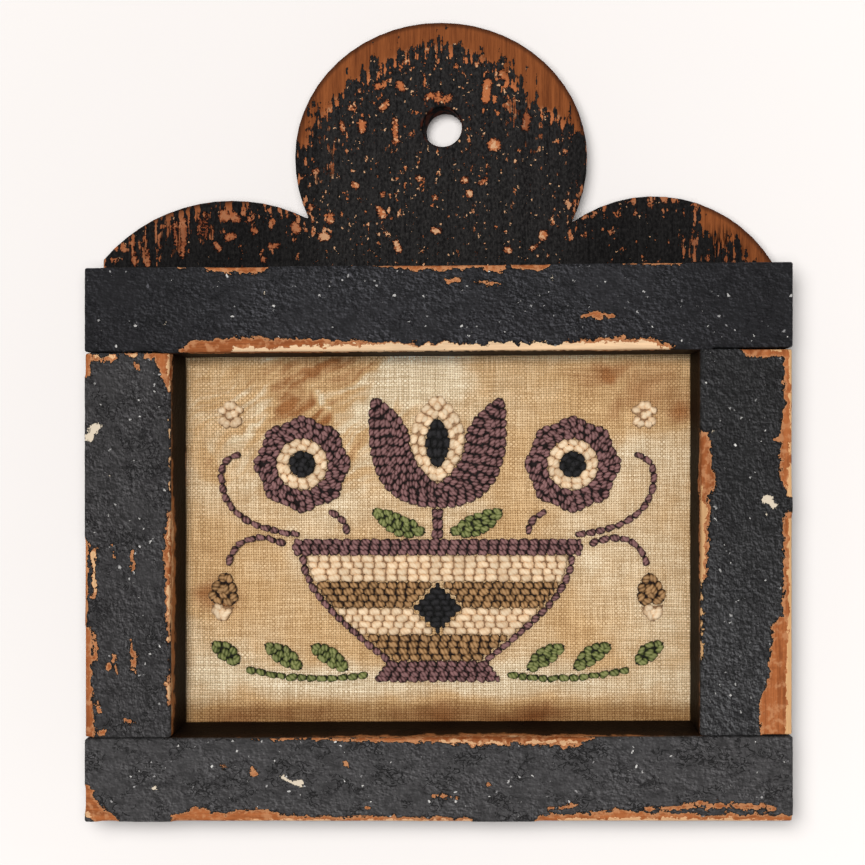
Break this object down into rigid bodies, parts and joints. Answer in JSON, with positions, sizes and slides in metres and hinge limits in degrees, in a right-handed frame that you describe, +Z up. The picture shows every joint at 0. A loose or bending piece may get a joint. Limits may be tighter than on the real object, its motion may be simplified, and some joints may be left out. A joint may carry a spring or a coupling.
{
  "type": "punch needle embroidery with frame",
  "caption": "Punch needle embroidery of a flower bowl on woven cloth, held in a deep wooden frame whose back board rises to a round crest pierced for a nail.",
  "frame": {"origin": "centre of the nail hole at the back board's back face", "axes": "+Z up, -Y out of the picture towards the viewer, +X to the right as seen from the front; the back face lies in the plane y = 0"},
  "size_m": [0.2409, 0.0293, 0.2792],
  "materials": {
    "crest_paint": "black paint worn through to orange-brown wood, matt",
    "rail_paint": "charcoal paint, rough and chipped at the edges, matt",
    "ground_cloth": "plain-weave cotton, stained tan and brown",
    "plum_thread": "punched stitches of plum cotton thread",
    "cream_thread": "punched stitches of cream cotton thread",
    "olive_thread": "punched stitches of olive-brown cotton thread",
    "green_thread": "punched stitches of moss green cotton thread",
    "black_thread": "punched stitches of black cotton thread"
  },
  "bodies": {
    "root": {"back_board": "crest_paint", "bowl_band_1": "olive_thread", "bowl_band_2_left": "cream_thread", "bowl_band_2_right": "cream_thread", "bowl_band_3_left": "olive_thread", "bowl_band_3_right": "olive_thread", "bowl_band_4": "cream_thread", "bowl_diamond": "black_thread", "bowl_foot": "plum_thread", "bowl_rim": "plum_thread", "bowl_side_left": "plum_thread", "bowl_side_right": "plum_thread", "bud_left": "olive_thread", "bud_right": "olive_thread", "bud_stem_left": "plum_thread", "bud_stem_right": "plum_thread", "bud_tip_left": "cream_thread", "bud_tip_right": "cream_thread", "ground_cloth": "ground_cloth", "rail_bottom": "rail_paint", "rail_top": "rail_paint", "rosette_eye_left": "black_thread", "rosette_eye_right": "black_thread", "rosette_left": "plum_thread", "rosette_right": "plum_thread", "rosette_ring_left": "cream_thread", "rosette_ring_right": "cream_thread", "rosette_stem_left": "plum_thread", "rosette_stem_right": "plum_thread", "sprig_leaf_1_left": "green_thread", "sprig_leaf_1_right": "green_thread", "sprig_leaf_2_left": "green_thread", "sprig_leaf_2_right": "green_thread", "sprig_leaf_3_left": "green_thread", "sprig_leaf_3_right": "green_thread", "sprig_stem_left": "green_thread", "sprig_stem_right": "green_thread", "star_left": "cream_thread", "star_right": "cream_thread", "stile_left": "rail_paint", "stile_right": "rail_paint", "tendril_left": "plum_thread", "tendril_right": "plum_thread", "tulip_core": "black_thread", "tulip_heart": "cream_thread", "tulip_leaf_left": "green_thread", "tulip_leaf_right": "green_thread", "tulip_petals": "plum_thread", "tulip_stem": "plum_thread"}
  },
  "joints": []
}
